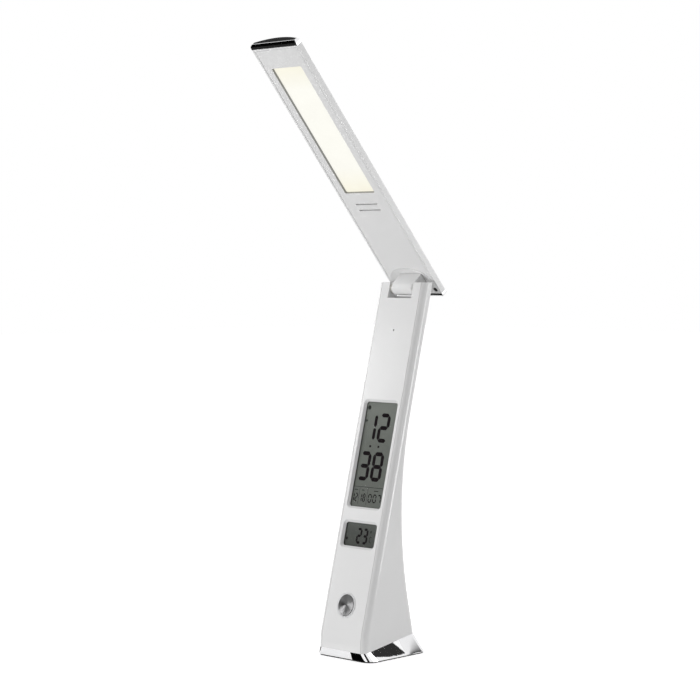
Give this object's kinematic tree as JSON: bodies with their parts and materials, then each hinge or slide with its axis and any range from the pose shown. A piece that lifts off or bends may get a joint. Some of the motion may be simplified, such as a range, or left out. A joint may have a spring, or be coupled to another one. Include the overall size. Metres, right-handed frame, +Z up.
{
  "type": "folding led table lamp",
  "caption": "Slim white folding desk lamp with a leaning stem, clock display windows, round push button, chrome foot skirt and a flat head with a lit panel on a friction hinge.",
  "frame": {"origin": "centre of the rubber foot's underside, on the table", "axes": "+Z up, -Y towards the front with the displays, +X to the right of the picture's front view"},
  "size_m": [0.0558, 0.1487, 0.4319],
  "materials": {
    "white_gloss": "glossy white moulded ABS",
    "chrome": "mirror chrome plating",
    "spun_metal": "spun radial brushing",
    "clear_lens": "clear acrylic",
    "lcd_glass": "grey-green reflective LCD",
    "board_green": "green solder mask",
    "board_white": "white solder mask on an aluminium core",
    "black_plastic": "fine matt texture",
    "steel": "plain bright steel",
    "nylon": "natural nylon",
    "battery_wrap": "foil pouch",
    "ballast_iron": "as cast",
    "rubber_black": "soft matt rubber",
    "button_white": "satin white",
    "diffuser_milk": "opal light diffuser",
    "frame_white": "white reflector plastic",
    "led_yellow": "phosphor-coated LED"
  },
  "bodies": {
    "stem": {"stem_rear_shell": "white_gloss", "stem_front_cover": "white_gloss", "main_lens": "clear_lens", "temperature_lens": "clear_lens", "main_lcd": "lcd_glass", "temperature_lcd": "lcd_glass", "display_board": "board_green", "set_switches": "steel", "main_board": "board_green", "power_switch": "black_plastic", "alarm_buzzer": "black_plastic", "board_screws": "steel", "button_ring": "chrome", "indicator_light_pipe": "clear_lens", "battery": "battery_wrap", "charge_board": "board_green", "charge_inlet": "steel", "ballast_weight": "ballast_iron", "base_skirt": "chrome", "base_plate": "black_plastic", "base_screws": "steel", "foot_pad": "rubber_black", "hinge_pin": "steel", "hinge_washers": "nylon"},
    "head": {"hinge_knuckle": "white_gloss", "knuckle_screws": "steel", "head_lower_cover": "white_gloss", "head_upper_cover": "white_gloss", "led_diffuser": "diffuser_milk", "light_frame": "frame_white", "led_board": "board_white", "led_chips": "led_yellow", "head_tip_trim": "chrome", "head_tail_trim": "chrome", "head_screws": "steel"},
    "power_button": {"power_button": "spun_metal"},
    "set_button_1": {"set_button_1": "button_white"},
    "set_button_2": {"set_button_2": "button_white"},
    "set_button_3": {"set_button_3": "button_white"},
    "set_button_4": {"set_button_4": "button_white"}
  },
  "joints": [
    {"name": "head_fold", "type": "hinge", "parent": "stem", "child": "head", "pos_m": [0, 0.03117, 0.26052], "axis": [1, 0, 0], "range_deg": [-53, 126]},
    {"name": "power_button_press", "type": "slide", "parent": "stem", "child": "power_button", "axis": [0, 0.9721, -0.2345], "range_m": [0, 0.0006], "stiffness_N_per_m": 2000},
    {"name": "set_button_1_press", "type": "slide", "parent": "stem", "child": "set_button_1", "axis": [0, -0.9721, 0.2345], "range_m": [0, 0.00035], "stiffness_N_per_m": 2000},
    {"name": "set_button_2_press", "type": "slide", "parent": "stem", "child": "set_button_2", "axis": [0, -0.9721, 0.2345], "range_m": [0, 0.00035], "stiffness_N_per_m": 2000},
    {"name": "set_button_3_press", "type": "slide", "parent": "stem", "child": "set_button_3", "axis": [0, -0.9721, 0.2345], "range_m": [0, 0.00035], "stiffness_N_per_m": 2000},
    {"name": "set_button_4_press", "type": "slide", "parent": "stem", "child": "set_button_4", "axis": [0, -0.9721, 0.2345], "range_m": [0, 0.00035], "stiffness_N_per_m": 2000}
  ]
}
